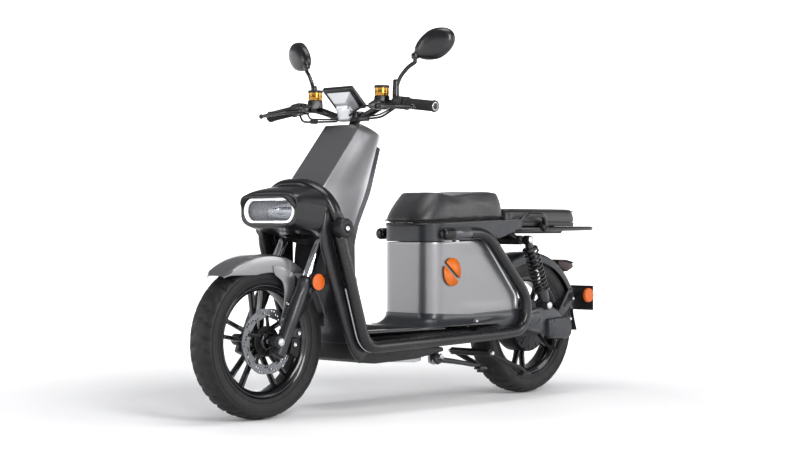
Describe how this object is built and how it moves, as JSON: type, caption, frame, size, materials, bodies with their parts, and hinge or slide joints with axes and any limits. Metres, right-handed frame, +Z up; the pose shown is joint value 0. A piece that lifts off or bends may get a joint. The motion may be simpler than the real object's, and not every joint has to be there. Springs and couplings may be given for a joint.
{
  "type": "moped scooter",
  "caption": "Electric moped scooter with a step-through floor, tubular side loops, hinged seat over a battery box, hub motor, telescopic fork and twin rear shocks.",
  "frame": {"origin": "on the ground, under the middle of the overall length, on the centre plane", "axes": "+X forward, +Y the rider's left, +Z up"},
  "size_m": [1.6994, 0.7162, 1.1472],
  "materials": {
    "frame_black": "satin black paint on welded steel",
    "satin_black_tube": "satin black powder coat",
    "black_plastic": "fine grained black",
    "satin_black_plastic": "smooth satin black",
    "charcoal_plastic": "satin charcoal",
    "steel": "zinc plated steel",
    "chrome": "hard chrome",
    "clear_lens": "clear moulded lens",
    "lamp_silver": "metallised reflector",
    "silver_panel": "metallic silver grey paint under clear coat",
    "dark_panel": "dark metallic grey paint",
    "rubber": "matte black rubber",
    "battery_case": "grained case",
    "cast_alloy": "die cast, finned",
    "leatherette": "dark grey leatherette with fine grain",
    "bar_black": "gloss black",
    "gold_alloy": "gold anodised",
    "red_button": "red moulded",
    "grey_button": "grey moulded",
    "slider_grey": "satin grey casting",
    "caliper_black": "black anodised",
    "orange_lens": "prismatic orange reflector",
    "red_lens": "red moulded lens",
    "tyre": "black tread rubber",
    "rim_black": "gloss black cast wheel",
    "disc_steel": "perforated stainless disc",
    "swingarm_grey": "satin dark grey casting",
    "cover_grey": "satin grey cover",
    "motor_alloy": "dark finned motor shell",
    "spring_black": "black coated spring steel",
    "stand_alloy": "silver zinc plated stand"
  },
  "bodies": {
    "root": {"main_frame": "frame_black", "side_tube_left": "satin_black_tube", "side_tube_right": "satin_black_tube", "front_hoop": "satin_black_tube", "leg_fairings": "black_plastic", "headset_bearings": "steel", "headlight_cowl": "satin_black_plastic", "headlight_lens": "clear_lens", "headlight_board": "lamp_silver", "front_panel": "silver_panel", "leg_shield": "dark_panel", "belly_pan": "black_plastic", "footboard": "dark_panel", "foot_mat": "rubber", "box_cover": "silver_panel", "seat_box": "charcoal_plastic", "battery_pack": "battery_case", "motor_controller": "cast_alloy", "rear_carrier": "satin_black_plastic", "passenger_pad": "leatherette", "pivot_pins": "steel"},
    "steering": {"steering_stem": "frame_black", "fork_stanchions": "chrome", "handlebar": "bar_black", "instrument_pod": "satin_black_plastic", "steering_cover": "silver_panel", "left_grip": "rubber", "switch_housings": "black_plastic", "brake_reservoirs": "gold_alloy", "control_cables": "rubber", "mirror_stems": "bar_black"},
    "throttle": {"throttle_grip": "rubber"},
    "lever_left": {"brake_lever_left": "bar_black"},
    "lever_right": {"brake_lever_right": "bar_black"},
    "mirror_left": {"mirror_left": "satin_black_plastic"},
    "mirror_right": {"mirror_right": "satin_black_plastic"},
    "start_button": {"start_button": "red_button"},
    "horn_button": {"horn_button": "grey_button"},
    "turn_switch": {"turn_switch": "grey_button"},
    "fork": {"fork_sliders": "slider_grey", "front_axle": "steel", "front_fender": "silver_panel", "front_caliper": "caliper_black", "side_reflectors": "orange_lens"},
    "front_wheel": {"front_tyre": "tyre", "front_rim": "rim_black", "front_disc": "disc_steel"},
    "swingarm": {"swingarm": "swingarm_grey", "rear_fender": "charcoal_plastic", "rear_lamp": "red_lens", "motor_cover": "cover_grey"},
    "rear_wheel": {"rear_tyre": "tyre", "rear_rim": "rim_black", "hub_motor": "motor_alloy"},
    "shock_upper": {"shock_bodies": "bar_black", "shock_springs": "spring_black"},
    "shock_lower": {"shock_rods": "slider_grey"},
    "seat": {"seat": "leatherette"},
    "side_stand": {"side_stand": "stand_alloy"},
    "centre_stand": {"centre_stand": "frame_black"}
  },
  "joints": [
    {"name": "steering_turn", "type": "hinge", "parent": "root", "child": "steering", "pos_m": [0.34658, 0, 0.64367], "axis": [-0.454, 0, 0.891], "range_deg": [-38, 38]},
    {"name": "fork_travel", "type": "slide", "parent": "steering", "child": "fork", "axis": [-0.454, 0, 0.891], "range_m": [0, 0.045], "stiffness_N_per_m": 14000, "springref_m": -0.06},
    {"name": "front_wheel_spin", "type": "hinge", "parent": "fork", "child": "front_wheel", "pos_m": [0.62525, 0, 0.2245], "axis": [0, 1, 0], "continuous": true},
    {"name": "throttle_twist", "type": "hinge", "parent": "steering", "child": "throttle", "pos_m": [0.25825, -0.3, 0.9035], "axis": [0, -0.9926, -0.1218], "range_deg": [0, 65], "stiffness_Nm_per_rad": 0.6, "springref_deg": -17.19},
    {"name": "brake_left_pull", "type": "hinge", "parent": "steering", "child": "lever_left", "pos_m": [0.29425, 0.168, 0.905], "axis": [0, 0, 1], "range_deg": [0, 10], "stiffness_Nm_per_rad": 8, "springref_deg": -8.59},
    {"name": "brake_right_pull", "type": "hinge", "parent": "steering", "child": "lever_right", "pos_m": [0.29425, -0.168, 0.905], "axis": [0, 0, -1], "range_deg": [0, 10], "stiffness_Nm_per_rad": 8, "springref_deg": -8.59},
    {"name": "mirror_left_tilt", "type": "hinge", "parent": "steering", "child": "mirror_left", "pos_m": [0.21425, 0.233, 1.05], "axis": [0, 0, 1], "range_deg": [-15, 15]},
    {"name": "mirror_right_tilt", "type": "hinge", "parent": "steering", "child": "mirror_right", "pos_m": [0.21425, -0.233, 1.05], "axis": [0, 0, -1], "range_deg": [-15, 15]},
    {"name": "start_press", "type": "slide", "parent": "steering", "child": "start_button", "axis": [1, 0, 0], "range_m": [0, 0.003], "stiffness_N_per_m": 500, "springref_m": -0.003},
    {"name": "horn_press", "type": "slide", "parent": "steering", "child": "horn_button", "axis": [1, 0, 0], "range_m": [0, 0.003], "stiffness_N_per_m": 500, "springref_m": -0.003},
    {"name": "turn_slide", "type": "slide", "parent": "steering", "child": "turn_switch", "axis": [0, -0.9926, 0.1218], "range_m": [-0.004, 0.004]},
    {"name": "swingarm_travel", "type": "hinge", "parent": "root", "child": "swingarm", "pos_m": [-0.24975, 0, 0.205], "axis": [0, 1, 0], "range_deg": [0, 9], "stiffness_Nm_per_rad": 1800, "springref_deg": -11.46},
    {"name": "rear_wheel_spin", "type": "hinge", "parent": "swingarm", "child": "rear_wheel", "pos_m": [-0.54475, 0, 0.2245], "axis": [0, 1, 0], "continuous": true},
    {"name": "shock_swing", "type": "hinge", "parent": "root", "child": "shock_upper", "pos_m": [-0.42375, 0, 0.508], "axis": [0, 1, 0], "range_deg": [0, 1]},
    {"name": "shock_travel", "type": "slide", "parent": "shock_upper", "child": "shock_lower", "axis": [0.4057, 0, 0.914], "range_m": [0, 0.05], "deforming": ["shock_springs"]},
    {"name": "seat_open", "type": "hinge", "parent": "root", "child": "seat", "pos_m": [0.03225, 0, 0.562], "axis": [0, 1, 0], "range_deg": [0, 75]},
    {"name": "side_stand_swing", "type": "hinge", "parent": "root", "child": "side_stand", "pos_m": [0.00025, 0.122, 0.146], "axis": [0.2265, -0.8712, -0.4356], "range_deg": [0, 98], "stiffness_Nm_per_rad": 0.6, "springref_deg": -85.94},
    {"name": "centre_stand_swing", "type": "hinge", "parent": "root", "child": "centre_stand", "pos_m": [-0.29475, 0, 0.146], "axis": [0, -1, 0], "range_deg": [0, 64], "stiffness_Nm_per_rad": 2, "springref_deg": -85.94}
  ],
  "couplings": [
    {"joint": "shock_travel", "follows": "swingarm_travel", "m_per_rad": 0.2825},
    {"joint": "shock_swing", "follows": "swingarm_travel", "ratio": 0.0333}
  ]
}
